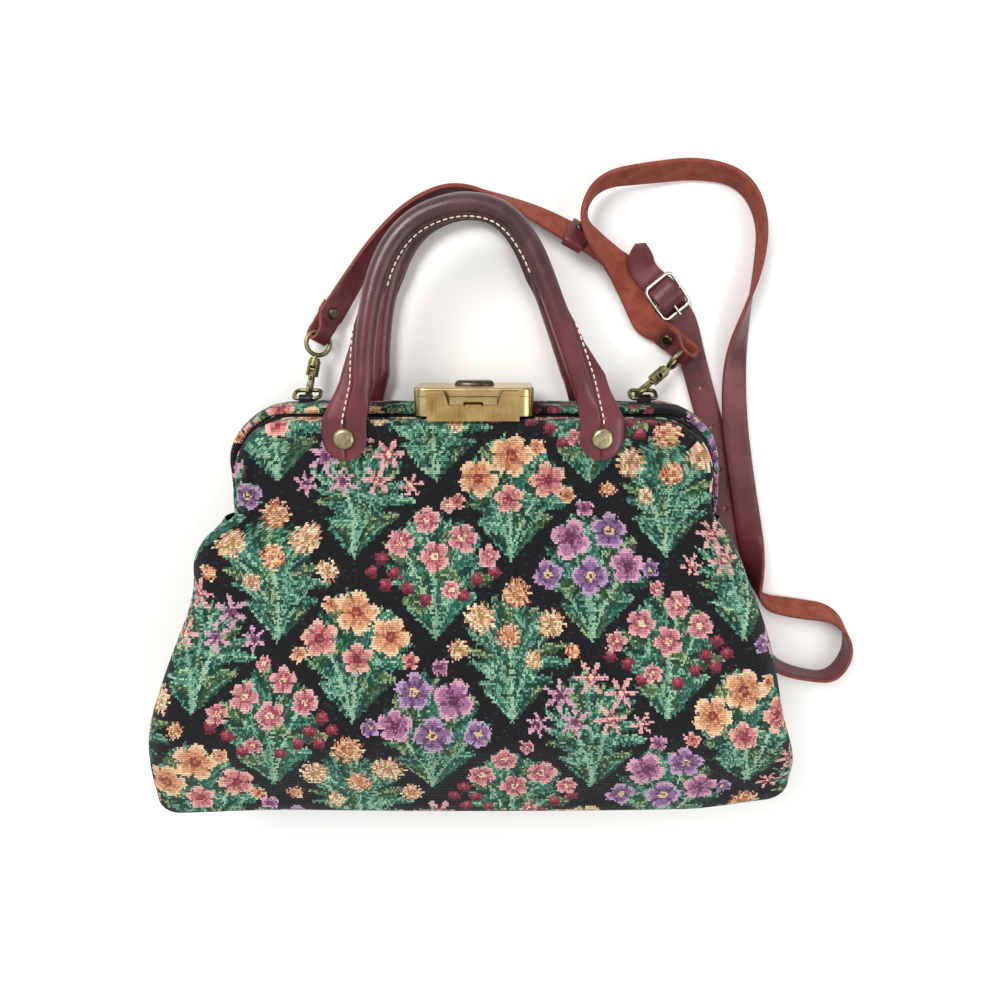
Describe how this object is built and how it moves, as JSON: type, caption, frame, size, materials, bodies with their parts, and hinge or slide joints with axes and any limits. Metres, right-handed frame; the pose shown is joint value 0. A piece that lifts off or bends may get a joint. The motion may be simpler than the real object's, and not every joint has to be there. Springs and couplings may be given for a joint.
{
  "type": "carpet bag",
  "caption": "Tapestry carpet bag with a hinged clasp frame, push lock, rolled leather handles and a clip-on leather shoulder strap.",
  "frame": {"origin": "middle of the hinge line projected down on to the surface that the back panel rests on", "axes": "+X along the clasp frame to the right as seen from the front panel, +Y from the base towards the handles, +Z out of the front panel"},
  "size_m": [0.395, 0.3431, 0.0942],
  "materials": {
    "tapestry": "woven multicolour tapestry",
    "lining_cloth": "plain weave",
    "frame_steel": "satin",
    "antique_brass": "worn antique plate",
    "spring_steel": "satin",
    "nickel": "polished",
    "handle_leather": "smooth, waxed",
    "strap_leather": "smooth one side, suede the other"
  },
  "bodies": {
    "bag": {"back_panel": "tapestry", "front_panel": "tapestry", "base_panel": "tapestry", "left_gusset": "tapestry", "right_gusset": "tapestry", "lining": "lining_cloth", "back_frame": "frame_steel", "back_frame_cover": "tapestry", "hinge_pin_left": "frame_steel", "hinge_pin_right": "frame_steel", "lock_body": "antique_brass", "lock_cap": "antique_brass", "lock_spring": "spring_steel", "left_hook_eye": "antique_brass", "right_hook_eye": "antique_brass", "back_handle_tabs": "handle_leather", "back_rivet_left": "antique_brass", "back_rivet_right": "antique_brass", "back_washer_left": "frame_steel", "back_washer_right": "frame_steel", "strap_short": "strap_leather", "strap_long": "strap_leather", "strap_rivet_left": "antique_brass", "strap_rivet_right": "antique_brass", "buckle_frame": "nickel", "strap_keeper": "strap_leather", "keeper_rivet": "antique_brass"},
    "front_half": {"front_panel_top": "tapestry", "front_frame": "frame_steel", "lock_front_plate": "antique_brass", "front_handle_tabs": "handle_leather", "front_rivet_left": "antique_brass", "front_rivet_right": "antique_brass", "front_washer_left": "frame_steel", "front_washer_right": "frame_steel"},
    "front_handle": {"front_handle": "handle_leather"},
    "back_handle": {"back_handle": "handle_leather"},
    "lock_button": {"lock_button": "antique_brass"},
    "left_ring": {"left_ring": "antique_brass"},
    "right_ring": {"right_ring": "antique_brass"},
    "left_hook": {"left_hook_body": "antique_brass", "left_hook_pin": "antique_brass"},
    "right_hook": {"right_hook_body": "antique_brass", "right_hook_pin": "antique_brass"},
    "left_gate": {"left_hook_gate": "antique_brass"},
    "right_gate": {"right_hook_gate": "antique_brass"},
    "buckle_tongue": {"buckle_tongue": "nickel"}
  },
  "joints": [
    {"name": "frame_open", "type": "hinge", "parent": "bag", "child": "front_half", "pos_m": [0, 0, 0.0335], "axis": [1, 0, 0], "range_deg": [0, 70]},
    {"name": "front_handle_swing", "type": "hinge", "parent": "front_half", "child": "front_handle", "pos_m": [0, 0.05, 0.0538], "axis": [1, 0, 0], "range_deg": [-3, 105]},
    {"name": "back_handle_swing", "type": "hinge", "parent": "bag", "child": "back_handle", "pos_m": [0, 0.05, 0.00195], "axis": [1, 0, 0], "range_deg": [-105, 3]},
    {"name": "lock_button_press", "type": "slide", "parent": "bag", "child": "lock_button", "axis": [0, -1, 0], "range_m": [0, 0.0022], "stiffness_N_per_m": 600, "springref_m": -0.0005},
    {"name": "left_ring_swing", "type": "hinge", "parent": "bag", "child": "left_ring", "pos_m": [-0.091, 0.0568, 0.022], "axis": [1, 0, 0], "range_deg": [-4, 4]},
    {"name": "right_ring_swing", "type": "hinge", "parent": "bag", "child": "right_ring", "pos_m": [0.091, 0.0568, 0.022], "axis": [1, 0, 0], "range_deg": [0, 4]},
    {"name": "left_hook_swivel", "type": "hinge", "parent": "bag", "child": "left_hook", "pos_m": [-0.091, 0.06039, 0.0143], "axis": [0.2048, 0.9633, -0.1736], "range_deg": [-8, 8]},
    {"name": "right_hook_swivel", "type": "hinge", "parent": "bag", "child": "right_hook", "pos_m": [0.091, 0.06039, 0.0143], "axis": [0.7544, 0.633, -0.1736], "range_deg": [-8, 5]},
    {"name": "left_gate_open", "type": "hinge", "parent": "left_hook", "child": "left_gate", "pos_m": [-0.08862, 0.07161, 0.01309], "axis": [-0.9781, 0.2079, 0], "range_deg": [0, 13], "stiffness_Nm_per_rad": 0.01, "springref_deg": -5.73},
    {"name": "right_gate_open", "type": "hinge", "parent": "right_hook", "child": "right_gate", "pos_m": [0.09978, 0.06776, 0.01309], "axis": [-0.6428, 0.766, 0], "range_deg": [0, 13], "stiffness_Nm_per_rad": 0.01, "springref_deg": -5.73},
    {"name": "tongue_lift", "type": "hinge", "parent": "bag", "child": "buckle_tongue", "pos_m": [0.1041, 0.1102, 0.0068], "axis": [-0.7749, -0.632, 0], "range_deg": [0, 25]}
  ]
}
